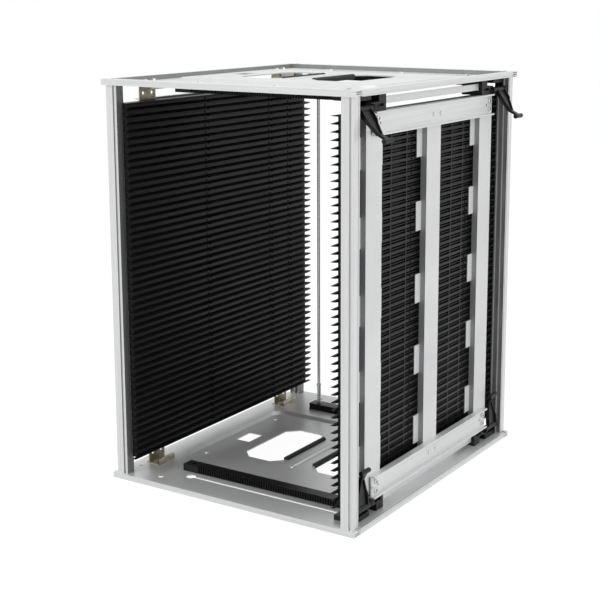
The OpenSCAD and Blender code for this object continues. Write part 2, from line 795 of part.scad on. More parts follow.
module lock_block_base_front() { color(plastic) level(-1) end(-1) lock_block(); }
module lock_block_base_rear() { color(plastic) level(-1) end(1) lock_block(); }
module lock_block_top_front() { color(plastic) level(1) end(-1) lock_block(); }
module lock_block_top_rear() { color(plastic) level(1) end(1) lock_block(); }

// pins of the four levers
module lever_pins() {
    color(steel) for (lv = [-1, 1], s = [-1, 1]) level(lv) end(s) lock_place()
        translate([pivot_x, 0, pivot_h]) rod_along_y(pin_d, bar_half + 1, block_y1);
}

// headed feet that run in the plates' slots
module slide_feet() {
    color(steel) for (lv = [-1, 1], s = [-1, 1]) level(lv) end(s) lock_place()
        translate([foot_x, foot_y, 0]) {
            rod_along_z(foot_d, -sheet_t - play - 1, 5);
            rod_along_z(foot_head, -sheet_t - play - 1.5, -sheet_t - play);
        }
}

// ---------------------------------------------------------------- levers

module lever(angle) {
    mid_y = foot_y + 4;
    neck_w = 8;
    t = 1.6;
    tip = [neck_len * sin(neck_bend), arm_len + neck_len * cos(neck_bend)];
    lock_place() translate([pivot_x, 0, pivot_h]) rotate([0, angle, 0]) difference() {
        union() {
            rod_along_y(2 * barrel_r - 1, boss_y1 + play, lever_y1);
            // arm that narrows to the neck, with a rib along each edge
            intersection() {
                lever_width(mid_y - neck_w / 2, mid_y + neck_w / 2);
                union() {
                    along_y(lever_y0, lever_y1) span(-t, 0, t, arm_len);
                    for (y = [lever_y0, lever_y1 - 1.8]) along_y(y, y + 1.8) polygon([
                        [-t, 0], [4.4, 0], [4.4, arm_len * 0.5], [t, arm_len], [-t, arm_len]
                    ]);
                    for (p = [[lever_y0, mid_y - neck_w / 2], [lever_y1, mid_y + neck_w / 2]])
                        lever_rib(p[0], p[1], p[0] == lever_y0 ? 1.8 : -1.8);
                }
            }
            translate([0, 0, arm_len - t]) rotate([0, neck_bend, 0])
                along_y(mid_y - neck_w / 2, mid_y + neck_w / 2) span(-t, 0, t, neck_len + t);
            translate([tip[0], 0, tip[1]])
                rod_along_y(knob_d, mid_y - knob_len / 2, mid_y + knob_len / 2);
            // finger that lifts the pawl
            rotate([0, -finger_mid, 0]) along_y(finger_y[0], finger_y[1]) {
                span(-finger_reach, -0.7, 0, 0.7);
                translate([-finger_reach, 0]) circle(r = finger_r, $fn = 32);
            }
        }
        rod_along_y(pin_d + 2 * fit, boss_y1, lever_y1 + cut);
    }
}

// outline of the arm from the barrel up to the neck, which runs from y0 to y1
module lever_width(y0, y1) {
    along_x(-barrel_r, barrel_r) polygon([
        [lever_y0, -barrel_r], [lever_y1, -barrel_r], [lever_y1, arm_len * 0.4],
        [y1, arm_len], [y0, arm_len], [lever_y0, arm_len * 0.4]
    ]);
}

// rib along the slanted edge of the arm, from y0 at its foot to y1 at the neck
module lever_rib(y0, y1, w) {
    along_x(-1, 3.6) polygon([
        [y0, arm_len * 0.4], [y1, arm_len], [y1 + w, arm_len], [y0 + w, arm_len * 0.4]
    ]);
}

module lever_base_front() { color(plastic) level(-1) end(-1) lever(lever_shut); }
module lever_base_rear() { color(plastic) level(-1) end(1) lever(lever_shut); }
module lever_top_front() { color(plastic) level(1) end(-1) lever(lever_open); }
module lever_top_rear() { color(plastic) level(1) end(1) lever(lever_open); }

// ---------------------------------------------------------------- pawls

// comb that drops between the rack's teeth, with a window round the lever's finger
module pawl(angle) {
    turn = finger_reach * PI / 180;
    z0 = rack_h - pawl_bite + (angle - lever_lock) * turn;
    fork_mid = pivot_h + (angle - finger_mid) * turn;
    fork_x0 = guide_back + 0.2;
    comb_w = tooth * 0.3;
    comb_y1 = rack_y1 + play;
    lock_place() difference() {
        union() {
            along_z(z0, z0 + pawl_h) {
                span(pawl_x0, comb_y1, fork_x0 + lap, pawl_y1);
                for (k = [1 : comb_teeth]) translate([rack_right - k * tooth + gap_mid - comb_w / 2, pawl_y0])
                    square([comb_w, comb_y1 - pawl_y0 + lap]);
            }
            along_y(comb_y1, pawl_y1) span(fork_x0, fork_mid - fork_h / 2, pawl_x1, fork_mid + fork_h / 2);
        }
        along_y(finger_y[0] - play, finger_y[1] + play)
            span(fork_x0 + fork_wall, fork_mid - finger_r - 0.35, pawl_x1 + cut,
                fork_mid + finger_r + 0.35);
    }
}

module pawl_base_front() { color(plastic) level(-1) end(-1) pawl(lever_shut); }
module pawl_base_rear() { color(plastic) level(-1) end(1) pawl(lever_shut); }
module pawl_top_front() { color(plastic) level(1) end(-1) pawl(lever_open); }
module pawl_top_rear() { color(plastic) level(1) end(1) pawl(lever_open); }

// ---------------------------------------------------------------- the rack

base_plate();
top_plate();
base_rail_front();
base_rail_rear();
base_rail_left();
base_rail_right();
top_rail_front();
top_rail_rear();
top_rail_left();
top_rail_right();
post_front_left();
post_front_right();
post_rear_left();
post_rear_right();
base_grips();
top_grips();
base_rack_front();
base_rack_rear();
top_rack_front();
top_rack_rear();
post_screws();
plate_screws();
stop_rod();
stop_spring();
fixed_bar_base();
fixed_bar_top();
fixed_strip_front();
fixed_strip_middle();
fixed_strip_rear();
fixed_guides_front();
fixed_guides_rear();
bracket_base_front();
bracket_base_rear();
bracket_top_front();
bracket_top_rear();
fixed_wall_screws();
sliding_bar_base();
sliding_bar_top();
sliding_strip_front();
sliding_strip_middle();
sliding_strip_rear();
sliding_guides_front();
sliding_guides_rear();
lock_block_base_front();
lock_block_base_rear();
lock_block_top_front();
lock_block_top_rear();
lever_base_front();
lever_base_rear();
lever_top_front();
lever_top_rear();
pawl_base_front();
pawl_base_rear();
pawl_top_front();
pawl_top_rear();
lever_pins();
slide_feet();
sliding_wall_screws();
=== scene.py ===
# %% [markdown]
# # A magazine rack for circuit boards
# The real object is a light open frame. Two stamped plates and four posts carry two walls of
# black slotted guides. The right-hand wall slides on toothed racks and four levers lock it.
# The solids come from the CAD frame, in metres, and never move. This file gives them their
# finishes, adds the small things that repeat, and sets up the light and the camera.

# %% Load the frame
import math
import bpy
from mathutils import Matrix, Vector


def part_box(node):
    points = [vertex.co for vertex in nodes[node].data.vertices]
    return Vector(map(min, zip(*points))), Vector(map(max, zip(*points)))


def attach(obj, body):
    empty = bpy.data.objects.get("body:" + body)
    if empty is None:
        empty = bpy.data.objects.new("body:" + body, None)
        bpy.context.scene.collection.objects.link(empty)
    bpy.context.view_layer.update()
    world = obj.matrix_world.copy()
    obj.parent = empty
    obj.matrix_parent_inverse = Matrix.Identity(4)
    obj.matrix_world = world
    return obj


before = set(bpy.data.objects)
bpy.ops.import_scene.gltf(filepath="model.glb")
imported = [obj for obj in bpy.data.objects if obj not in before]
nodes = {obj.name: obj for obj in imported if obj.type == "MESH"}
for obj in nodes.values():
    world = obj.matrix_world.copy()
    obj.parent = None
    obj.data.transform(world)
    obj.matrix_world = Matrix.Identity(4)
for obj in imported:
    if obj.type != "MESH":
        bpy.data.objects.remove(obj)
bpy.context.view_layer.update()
scene = bpy.context.scene

# %% [markdown]
# ## Sizes that the details need
# Most positions are read from the solids themselves, so a detail stays on its solid when the
# source changes; the tie bars and the rivets' spacing are given in millimetres.

# %% Read the sizes
MM = 0.001
half_w, _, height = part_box("top_rail_front")[1]
half_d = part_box("top_rail_rear")[1][1]
print("rack %.0f x %.0f x %.0f mm" % (2 * half_w / MM, 2 * half_d / MM, height / MM))

# %% [markdown]
# ## A small kit for materials
# A finish here is a Principled shader whose colour, roughness and bump come from noise in
# Object coordinates. Those coordinates are metres in the frame, so a streak has a real size.
# Numbers that are the same all over a surface go straight on the shader's own sockets.

# %% The material kit
def new_finish(name, metallic, roughness, **constants):
    finish = bpy.data.materials.new(name)
    finish.use_nodes = True
    shader = finish.node_tree.nodes["Principled BSDF"]
    shader.inputs["Metallic"].default_value = metallic
    shader.inputs["Roughness"].default_value = roughness
    for socket, value in constants.items():
        shader.inputs[socket.replace("_", " ")].default_value = value
    return finish, finish.node_tree, shader


def pattern(tree, stretch, detail=3.0):
    """Noise whose grains measure 1 / stretch metres along X, Y and Z."""
    place = tree.nodes.new("ShaderNodeTexCoord")
    scale = tree.nodes.new("ShaderNodeMapping")
    scale.inputs["Scale"].default_value = stretch
    noise = tree.nodes.new("ShaderNodeTexNoise")
    noise.inputs["Scale"].default_value = 1.0
    noise.inputs["Detail"].default_value = detail
    noise.inputs["Roughness"].default_value = 0.55
    tree.links.new(place.outputs["Object"], scale.inputs["Vector"])
    tree.links.new(scale.outputs["Vector"], noise.inputs["Vector"])
    return noise.outputs[0]


def ramp(tree, source, stops):
    """A colour ramp from (position, colour) stops; a single number stands for a grey."""
    node = tree.nodes.new("ShaderNodeValToRGB")
    while len(node.color_ramp.elements) < len(stops):
        node.color_ramp.elements.new(0.5)
    for element, (position, colour) in zip(node.color_ramp.elements, stops):
        element.position = position
        element.color = (*([colour] * 3 if isinstance(colour, float) else colour), 1.0)
    tree.links.new(source, node.inputs["Fac"])
    return node.outputs["Color"]


def mix(tree, factor, a, b, kind="MIX"):
    """Blends colour b over colour a; each may be an output or a fixed value."""
    node = tree.nodes.new("ShaderNodeMix")
    node.data_type = "RGBA"
    node.blend_type = kind
    for socket, value in ((0, factor), (6, a), (7, b)):
        if hasattr(value, "default_value"):
            tree.links.new(value, node.inputs[socket])
        else:
            node.inputs[socket].default_value = value if socket == 0 else (*value, 1.0)
    return node.outputs[2]


def bump(tree, shader, source, strength, distance):
    """Tilts the surface by a height pattern; distance is its depth in metres."""
    node = tree.nodes.new("ShaderNodeBump")
    node.inputs["Strength"].default_value = strength
    node.inputs["Distance"].default_value = distance
    tree.links.new(source, node.inputs["Height"])
    tree.links.new(node.outputs["Normal"], shader.inputs["Normal"])


def looks_inward(tree):
    """1 on faces that look in towards the middle of the rack, 0 on those that look out.

    The place, laid flat, times the normal gives how far a face lies out along its own
    direction, so it is below zero where the face looks back at the middle.
    """
    place = tree.nodes.new("ShaderNodeTexCoord")
    facing = tree.nodes.new("ShaderNodeNewGeometry")
    level = tree.nodes.new("ShaderNodeVectorMath")
    level.operation = "MULTIPLY"
    level.inputs[1].default_value = (1.0, 1.0, 0.0)
    dot = tree.nodes.new("ShaderNodeVectorMath")
    dot.operation = "DOT_PRODUCT"
    test = tree.nodes.new("ShaderNodeMath")
    test.operation = "LESS_THAN"
    test.inputs[1].default_value = -0.05
    tree.links.new(place.outputs["Object"], level.inputs[0])
    tree.links.new(level.outputs[0], dot.inputs[0])
    tree.links.new(facing.outputs["Normal"], dot.inputs[1])
    tree.links.new(dot.outputs["Value"], test.inputs[0])
    return test.outputs[0]


def paint(finish, *names):
    """Gives solids a finish in place of their plain one."""
    for name in names:
        mesh = nodes[name].data
        mesh.materials.clear()
        mesh.materials.append(finish)


print("material kit ready")

# %% [markdown]
# ## Drawn alloy
# Posts, rails and cross bars are pushed through a die and anodised. The die leaves fine
# streaks along the piece, so the noise is stretched a hundredfold along the drawing
# direction. Each direction gets a finish of its own. Faces that look in towards the middle
# of the rack get painted shade, a dark grey mixed into their colour; the others are brushed.

# %% Drawn alloy along each axis
INNER_SHADE = 0.75                  # how much painted shade darkens an inner face
# the dark grey of the painted shade on inner faces
INNER_SHADE_GREY = (0.12, 0.12, 0.125)
STREAKS = (900.0, 4.0)              # fine streaks per metre, across and along the piece
BANDS = (60.0, 2.5)                 # broad bands per metre, across and along


def drawn_alloy(name, along, tone, roughness=0.36):
    finish, tree, shader = new_finish(name, 0.3, roughness)
    fine, broad = ([counts[1] if axis == along else counts[0] for axis in range(3)]
                   for counts in (STREAKS, BANDS))
    streaks = pattern(tree, fine, detail=2.0)
    low = tuple(c * 0.93 for c in tone)
    colour = ramp(tree, pattern(tree, broad), [(0.3, low), (0.7, tone)])
    colour = mix(tree, 0.35, colour, ramp(tree, streaks, [(0.35, 0.72), (0.65, 1.0)]), "MULTIPLY")
    # painted shade: faces that look in towards the middle are mixed towards a dark grey
    painted_shade = ramp(tree, looks_inward(tree), [(0.0, 0.0), (1.0, INNER_SHADE)])
    colour = mix(tree, painted_shade, colour, INNER_SHADE_GREY)
    tree.links.new(colour, shader.inputs["Base Color"])
    grey = ramp(tree, streaks, [(0.3, roughness - 0.08), (0.7, roughness + 0.08)])
    tree.links.new(grey, shader.inputs["Roughness"])
    bump(tree, shader, streaks, 0.12, 0.0001)
    return finish


ALLOY = (0.86, 0.865, 0.87)
alloy_x = drawn_alloy("drawn alloy across", 0, ALLOY)
alloy_y = drawn_alloy("drawn alloy in depth", 1, ALLOY)
alloy_z = drawn_alloy("drawn alloy upright", 2, ALLOY)
for level in ("base", "top"):
    paint(alloy_x, level + "_rail_front", level + "_rail_rear")
    paint(alloy_y, level + "_rail_left", level + "_rail_right")
    paint(alloy_y, "fixed_bar_" + level, "sliding_bar_" + level)
paint(alloy_z, *[n for n in nodes if n.startswith("post_") and n != "post_screws"])
print("drawn alloy on", sum(1 for n in nodes if "rail" in n or "bar" in n), "rails and bars")

# %% [markdown]
# ## Rolled and stamped sheet
# The plates are rolled sheet. Rolling leaves a soft, slightly cloudy shine with a faint
# grain. The strips are paler sheet, and their folded side walls, which face front and rear, get
# painted shade: a dark grey mixed into their colour.

# %% Plates and strips
# dark grey painted as shade on the strips' side walls
WALL_SHADE_GREY = (0.2, 0.2, 0.205)


def side_walls(tree):
    """0.8 on faces that look to the front or the rear, 0 on the others."""
    facing = tree.nodes.new("ShaderNodeNewGeometry")
    split = tree.nodes.new("ShaderNodeSeparateXYZ")
    size = tree.nodes.new("ShaderNodeMath")
    size.operation = "ABSOLUTE"
    tree.links.new(facing.outputs["Normal"], split.inputs["Vector"])
    tree.links.new(split.outputs["Y"], size.inputs[0])
    return ramp(tree, size.outputs[0], [(0.4, 0.0), (0.8, 0.8)])


def rolled_sheet(name, tone, roughness, metallic, shaded_walls=False):
    """Cloudy sheet with a faint grain; on folded sheet the side walls get painted shade."""
    finish, tree, shader = new_finish(name, metallic, roughness)
    cloud = pattern(tree, (9.0, 5.0, 9.0), detail=4.0)
    grain = pattern(tree, (25.0, 700.0, 25.0), detail=2.0)
    low = tuple(c * 0.9 for c in tone)
    colour = ramp(tree, cloud, [(0.3, low), (0.7, tone)])
    colour = mix(tree, 0.2, colour, ramp(tree, grain, [(0.3, 0.8), (0.7, 1.0)]), "MULTIPLY")
    # painted shade: faces that look to the front or the rear are mixed towards a dark grey
    if shaded_walls:
        colour = mix(tree, side_walls(tree), colour, WALL_SHADE_GREY)
    tree.links.new(colour, shader.inputs["Base Color"])
    grey = ramp(tree, cloud, [(0.3, roughness + 0.07), (0.7, roughness - 0.07)])
    tree.links.new(grey, shader.inputs["Roughness"])
    bump(tree, shader, grain, 0.08, 0.0001)
    return finish


plate_sheet = rolled_sheet("rolled plate", (0.82, 0.825, 0.83), 0.4, 0.35)
strip_sheet = rolled_sheet("strip sheet", (0.90, 0.905, 0.91), 0.42, 0.1, True)
paint(plate_sheet, "base_plate", "top_plate")
paint(strip_sheet, *[n for n in nodes if "_strip_" in n])
print("sheet on the plates and the strips")

# %% [markdown]
# ## Black mouldings
# Guides, toothed racks, lock blocks and levers are black plastic that leads charge away. It
# has a fine spark-eroded grain from the mould and flow marks, and it carries a little dust on
# faces that look up. The dust follows the surface normal, so it stays put as a lever turns.

# %% Black plastic
GRAIN_SIZE = 0.4 * MM
DUST = 0.012                        # share of dust on a face that looks straight up


def moulded(name, tone, roughness):
    finish, tree, shader = new_finish(name, 0.0, roughness, Specular_IOR_Level=0.22)
    grain = pattern(tree, (1 / GRAIN_SIZE,) * 3, detail=2.0)
    flow = pattern(tree, (22.0, 7.0, 30.0), detail=3.0)
    colour = ramp(tree, flow, [(0.3, tuple(c * 0.75 for c in tone)), (0.7, tone)])
    facing = tree.nodes.new("ShaderNodeNewGeometry")
    split = tree.nodes.new("ShaderNodeSeparateXYZ")
    tree.links.new(facing.outputs["Normal"], split.inputs["Vector"])
    up = ramp(tree, split.outputs["Z"], [(0.75, 0.0), (1.0, DUST)])
    colour = mix(tree, up, colour, (0.5, 0.5, 0.5))
    tree.links.new(colour, shader.inputs["Base Color"])
    grey = ramp(tree, flow, [(0.25, roughness + 0.08), (0.75, roughness - 0.08)])
    tree.links.new(grey, shader.inputs["Roughness"])
    bump(tree, shader, grain, 0.25, 0.00015)
    return finish


guide_black = moulded("guide black", (0.006, 0.006, 0.0065), 0.4)
rack_black = moulded("rack black", (0.007, 0.007, 0.0075), 0.36)
lock_black = moulded("lock black", (0.010, 0.010, 0.0105), 0.42)
lever_black = moulded("lever black", (0.012, 0.012, 0.0125), 0.36)
paint(guide_black, *[n for n in nodes if "_guides_" in n])
paint(rack_black, *[n for n in nodes if "_rack_" in n])
paint(lock_black, *[n for n in nodes if n.startswith(("lock_block", "pawl"))])
paint(lever_black, *[n for n in nodes if n.startswith("lever_") and n != "lever_pins"])
blacks = [n for n in nodes if nodes[n].data.materials[0].name.endswith("black")]
print("black plastic on", len(blacks), "solids")

# %% [markdown]
# ## Rubber, zinc and steel
# The grips on the handle strips are soft rubber. The folded brackets are zinc plated and
# passivated, which leaves a thin film in patches of cream, olive and rose. The screws are
# bright plated steel.

# %% Rubber, zinc and steel
grip_rubber, tree, shader = new_finish("grip rubber", 0.0, 0.7)
skin = pattern(tree, (1500.0,) * 3, detail=2.0)
tree.links.new(ramp(tree, skin, [(0.3, 0.012), (0.7, 0.022)]), shader.inputs["Base Color"])
bump(tree, shader, skin, 0.3, 0.0002)

passivated, tree, shader = new_finish("passivated zinc", 0.55, 0.32)
film = pattern(tree, (45.0, 30.0, 60.0), detail=4.0)
film_colour = ramp(tree, film, [(0.3, (0.40, 0.31, 0.29)), (0.45, (0.60, 0.55, 0.46)),
                                (0.55, (0.36, 0.33, 0.20)), (0.7, (0.66, 0.62, 0.52))])
tree.links.new(film_colour, shader.inputs["Base Color"])
bump(tree, shader, pattern(tree, (1200.0,) * 3), 0.08, 0.0001)

plated_steel, tree, shader = new_finish("plated steel", 1.0, 0.26)
turning = pattern(tree, (700.0, 700.0, 700.0), detail=2.0)
tree.links.new(ramp(tree, turning, [(0.3, 0.55), (0.7, 0.72)]), shader.inputs["Base Color"])
bump(tree, shader, turning, 0.1, 0.0001)

paint(grip_rubber, "base_grips", "top_grips")
paint(passivated, *[n for n in nodes if n.startswith("bracket_")])
paint(plated_steel, "post_screws", "plate_screws", "fixed_wall_screws", "sliding_wall_screws",
      "slide_feet", "lever_pins", "stop_rod", "stop_spring")
finishes = (alloy_x, alloy_y, alloy_z, plate_sheet, strip_sheet, guide_black, rack_black,
            lock_black, lever_black, grip_rubber, passivated, plated_steel)
print("solids still without a finish:",
      [n for n in nodes if nodes[n].data.materials[0] not in finishes])

# %% [markdown]
# ## Small round heads that repeat
# The bars carry screws and rivets, and each lever's knob has two rounded ends. They are one
# shape set on many points, which is what Geometry Nodes are for.
# A point mesh holds where each one sits, and a vector on each point says which way it faces.
# The tree turns a unit shape to that vector, makes the copies real and gives them a finish.

# %% A tree that sets a domed head on every point
CROSS_WIDTH = 0.22                  # share of the cross's length
# the painted-shade cross stands this far proud of the dome
CROSS_RISE = 0.25 * MM


def add(tree, kind, **settings):
    """Adds a node and sets what isn't a socket of it."""
    node = tree.nodes.new(kind)
    for name, value in settings.items():
        setattr(node, name, value)
    return node


def head_tree(name, finish, cross_shade=None):
    """Domed heads; given a shade finish, a dark cross stands on each of them as painted shade for
    the drive's recess.

    Radius is the head's radius, Dome its height as a share of that, Recess the cross's length.
    """
    tree = bpy.data.node_groups.new(name, "GeometryNodeTree")
    tree.interface.new_socket("Points", in_out="INPUT", socket_type="NodeSocketGeometry")
    for label, value in (("Radius", 0.003), ("Dome", 0.3), ("Recess", 0.0)):
        socket = tree.interface.new_socket(label, in_out="INPUT", socket_type="NodeSocketFloat")
        socket.default_value = value
    tree.interface.new_socket("Heads", in_out="OUTPUT", socket_type="NodeSocketGeometry")
    given, out = add(tree, "NodeGroupInput"), add(tree, "NodeGroupOutput")
    link = tree.links.new

    facing = add(tree, "GeometryNodeInputNamedAttribute", data_type="FLOAT_VECTOR")
    facing.inputs["Name"].default_value = "facing"
    turn = add(tree, "FunctionNodeAlignRotationToVector", axis="Z")
    link(facing.outputs["Attribute"], turn.inputs["Vector"])

    ball = add(tree, "GeometryNodeMeshUVSphere")
    ball.inputs["Segments"].default_value = 20
    ball.inputs["Rings"].default_value = 10
    link(given.outputs["Radius"], ball.inputs["Radius"])
    flat = add(tree, "ShaderNodeCombineXYZ")
    flat.inputs["X"].default_value = 1.0
    flat.inputs["Y"].default_value = 1.0
    link(given.outputs["Dome"], flat.inputs["Z"])
    dome = add(tree, "GeometryNodeTransform")
    link(ball.outputs["Mesh"], dome.inputs["Geometry"])
    link(flat.outputs["Vector"], dome.inputs["Scale"])
    skin = add(tree, "GeometryNodeSetMaterial")
    skin.inputs["Material"].default_value = finish
    smooth = add(tree, "GeometryNodeSetShadeSmooth")
    link(dome.outputs["Geometry"], smooth.inputs["Geometry"])
    link(smooth.outputs["Geometry"], skin.inputs["Geometry"])
    join = add(tree, "GeometryNodeJoinGeometry")
    link(skin.outputs["Geometry"], join.inputs["Geometry"])
    if cross_shade:
        height = add(tree, "ShaderNodeMath", operation="MULTIPLY")
        link(given.outputs["Radius"], height.inputs[0])
        link(given.outputs["Dome"], height.inputs[1])
        place = add(tree, "ShaderNodeCombineXYZ")
        link(height.outputs[0], place.inputs["Z"])
        for across in (0, 1):
            arm = add(tree, "ShaderNodeCombineXYZ")
            thin = add(tree, "ShaderNodeMath", operation="MULTIPLY")
            thin.inputs[1].default_value = CROSS_WIDTH
            link(given.outputs["Recess"], thin.inputs[0])
            link(given.outputs["Recess"], arm.inputs["XY"[across]])
            link(thin.outputs[0], arm.inputs["YX"[across]])
            arm.inputs["Z"].default_value = CROSS_RISE
            cube = add(tree, "GeometryNodeMeshCube")
            link(arm.outputs["Vector"], cube.inputs["Size"])
            up = add(tree, "GeometryNodeTransform")
            link(cube.outputs["Mesh"], up.inputs["Geometry"])
            link(place.outputs["Vector"], up.inputs["Translation"])
            dark = add(tree, "GeometryNodeSetMaterial")
            dark.inputs["Material"].default_value = cross_shade
            link(up.outputs["Geometry"], dark.inputs["Geometry"])
            link(dark.outputs["Geometry"], join.inputs["Geometry"])

    copies = add(tree, "GeometryNodeInstanceOnPoints")
    link(given.outputs["Points"], copies.inputs["Points"])
    link(join.outputs["Geometry"], copies.inputs["Instance"])
    link(turn.outputs["Rotation"], copies.inputs["Rotation"])
    real = add(tree, "GeometryNodeRealizeInstances")
    link(copies.outputs["Instances"], real.inputs["Geometry"])
    link(real.outputs["Geometry"], out.inputs["Heads"])
    return tree


def grow(name, body, slot, tree, places, facing, **sizes):
    """Runs a tree on points and keeps the result as one plain mesh that rides on a body."""
    mesh = bpy.data.meshes.new(name)
    mesh.from_pydata(places, [], [])
    attribute = mesh.attributes.new("facing", "FLOAT_VECTOR", "POINT")
    for item, vector in zip(attribute.data, facing):
        item.vector = vector
    piece = bpy.data.objects.new(name, mesh)
    scene.collection.objects.link(piece)
    modifier = piece.modifiers.new("nodes", "NODES")
    modifier.node_group = tree
    for item in tree.interface.items_tree:
        if item.in_out == "INPUT" and item.name in sizes:
            modifier[item.identifier] = sizes[item.name]
    bpy.context.view_layer.update()
    evaluated = piece.evaluated_get(bpy.context.evaluated_depsgraph_get())
    plain = bpy.data.meshes.new_from_object(evaluated)
    piece.modifiers.clear()
    piece.data = plain
    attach(piece, body)
    print(name, len(places), "copies,", len(plain.polygons), "faces")


# painted shade: the cross of each screw's drive is a near-black block on the dome, where the real
# recess lies in shade
recess_shade, tree, shader = new_finish("recess shade", 0.6, 0.6)
tree.links.new(ramp(tree, pattern(tree, (900.0,) * 3), [(0.3, 0.02), (0.7, 0.05)]),
               shader.inputs["Base Color"])
pan_head = head_tree("pan head", plated_steel, recess_shade)
round_head = head_tree("round head", plated_steel)
knob_head = head_tree("knob end", lever_black)
print("three head trees")

# %% Screws and rivets on the cross bars
SCREW_EDGE = 3.5 * MM               # from the edge of the fasteners' box to a screw's middle
SCREW_GAP = 12 * MM                 # between the two screws at one end of a bar
RIVET_Y = 10 * MM                   # from the middle of a bar to a rivet
RIVET_RISE = 3.2 * MM               # from a bar's back to a rivet's face


def wall_heads(wall, body, out):
    """Domes on the flat heads of one wall's screws and rivets; out is the side they face."""
    low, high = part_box(wall + "_wall_screws")
    bar_low, bar_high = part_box(wall + "_bar_base")
    screw_face = high[0] if out > 0 else low[0]
    rivet_face = bar_low[0] + RIVET_RISE if out > 0 else bar_high[0] - RIVET_RISE
    base_z, top_z = low[2] + SCREW_EDGE, high[2] - SCREW_EDGE
    screws = [(screw_face, y, z) for y in (low[1] + SCREW_EDGE, high[1] - SCREW_EDGE)
              for z in (base_z, base_z + SCREW_GAP, top_z - SCREW_GAP, top_z)]
    rivets = [(rivet_face, y, z) for y in (-RIVET_Y, RIVET_Y)
              for z in (base_z + SCREW_GAP / 2, top_z - SCREW_GAP / 2)]
    grow(wall + "_screw_faces", body, "screw_steel", pan_head, screws,
         [(out, 0, 0)] * len(screws), Radius=3.3 * MM, Dome=0.22, Recess=3.6 * MM)
    grow(wall + "_rivet_heads", body, "screw_steel", round_head, rivets,
         [(out, 0, 0)] * len(rivets), Radius=2.9 * MM, Dome=0.3)


wall_heads("fixed", "frame", -1)
wall_heads("sliding", "sliding_wall", 1)

# %% Rounded ends of the levers' knobs
KNOB_D = 6.5 * MM


def knob_ends(level, end):
    """Rounds both ends of one lever's knob, which lies farthest up or out from the pin."""
    name = "lever_%s_%s" % (level, end)
    axis = 2 if level == "base" else 0
    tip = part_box(name)[1][axis]
    knob = [v.co for v in nodes[name].data.vertices if v.co[axis] > tip - KNOB_D]
    spans = [(min(p[k] for p in knob), max(p[k] for p in knob)) for k in range(3)]
    middle = [sum(span) / 2 for span in spans]
    grow(name + "_knob", name, "lever_plastic", knob_head,
         [(middle[0], y, middle[2]) for y in spans[1]], [(0, -1, 0), (0, 1, 0)],
         Radius=KNOB_D / 2, Dome=0.25)


for level in ("base", "top"):
    for end in ("front", "rear"):
        knob_ends(level, end)

# %% [markdown]
# ## Ribs in the grooves of the guides
# Behind each board slot a guide has a groove, and a thin rib runs along the middle of it.
# Fifty slots on four columns make two hundred ribs, so one tree sets a block on every point.

# %% A tree that sets a block on every point
def block_tree(name, finish):
    """Blocks of one size, their edges along the frame's axes."""
    tree = bpy.data.node_groups.new(name, "GeometryNodeTree")
    tree.interface.new_socket("Points", in_out="INPUT", socket_type="NodeSocketGeometry")
    tree.interface.new_socket("Size", in_out="INPUT", socket_type="NodeSocketVector")
    tree.interface.new_socket("Blocks", in_out="OUTPUT", socket_type="NodeSocketGeometry")
    given, out = add(tree, "NodeGroupInput"), add(tree, "NodeGroupOutput")
    cube = add(tree, "GeometryNodeMeshCube")
    copies = add(tree, "GeometryNodeInstanceOnPoints")
    real = add(tree, "GeometryNodeRealizeInstances")
    skin = add(tree, "GeometryNodeSetMaterial")
    skin.inputs["Material"].default_value = finish
    for start, end in ((given.outputs["Size"], cube.inputs["Size"]),
                       (given.outputs["Points"], copies.inputs["Points"]),
                       (cube.outputs["Mesh"], copies.inputs["Instance"]),
                       (copies.outputs["Instances"], real.inputs["Geometry"]),
                       (real.outputs["Geometry"], skin.inputs["Geometry"]),
                       (skin.outputs["Geometry"], out.inputs["Blocks"])):
        tree.links.new(start, end)
    return tree


guide_rib = block_tree("guide rib", guide_black)
tie_block = block_tree("tie block", alloy_y)
SLOTS = 50
RIB = (5.0 * MM, 0.9 * MM)          # depth and height of a rib
RIB_BACK = 0.6 * MM                 # from a guide's back to the ribs' edge
LEAD = 9.6 * MM                     # the ribs stop short of a column's pointed end
RIB_END = 1.2 * MM                  # and end inside its upright edge ribs


def groove_ribs(node, body, out):
    """A rib in the middle of every groove of one column; out is the side of its back."""
    low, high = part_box(node)
    pitch = (high[2] - low[2]) / SLOTS
    back = high[0] if out > 0 else low[0]
    near, far = sorted((low[1], high[1]), key=abs)
    far -= math.copysign(LEAD + RIB_END, far)
    near += math.copysign(RIB_END, far)
    x = back - out * (RIB_BACK + RIB[0] / 2)
    places = [(x, (near + far) / 2, low[2] + (k + 0.5) * pitch) for k in range(SLOTS)]
    grow(node + "_ribs", body, "guide_plastic", guide_rib, places, [(1, 0, 0)] * SLOTS,
         Size=(RIB[0], abs(far - near), RIB[1]))


for side, body, out in (("fixed", "frame", -1), ("sliding", "sliding_wall", 1)):
    for end in ("front", "rear"):
        groove_ribs("%s_guides_%s" % (side, end), body, out)

# %% [markdown]
# ## Tie bars between the lock blocks
# A flat bar joins the front and rear lock blocks at the top and another at the base, so that
# both ends of the sliding wall move together.

# %% Tie bars
TIE = (3 * MM, 276 * MM, 9 * MM)    # thickness, length and height
TIE_X = 181 * MM
TIE_Z = 18.5 * MM                   # from the rack's underside or top to a bar's middle
for level, middle in (("base", TIE_Z), ("top", height - TIE_Z)):
    grow("tie_bar_" + level, "sliding_wall", "bar_alloy", tie_block, [(TIE_X, 0, middle)],
         [(1, 0, 0)], Size=TIE)

# %% [markdown]
# ## Floor and light
# The floor looks white to the camera and in reflections, and keeps the rack's shadow. A wide
# soft lamp stands at the front left, a second one at the right and a third one above. The
# world fills in with a grey gradient that is darkest near the horizon.

# %% Floor
FLOOR_HALF = 8.0
GLOW = 1.17
GLOW_SHARE = 0.8                    # the rest of the floor's brightness is lit, with the shadow


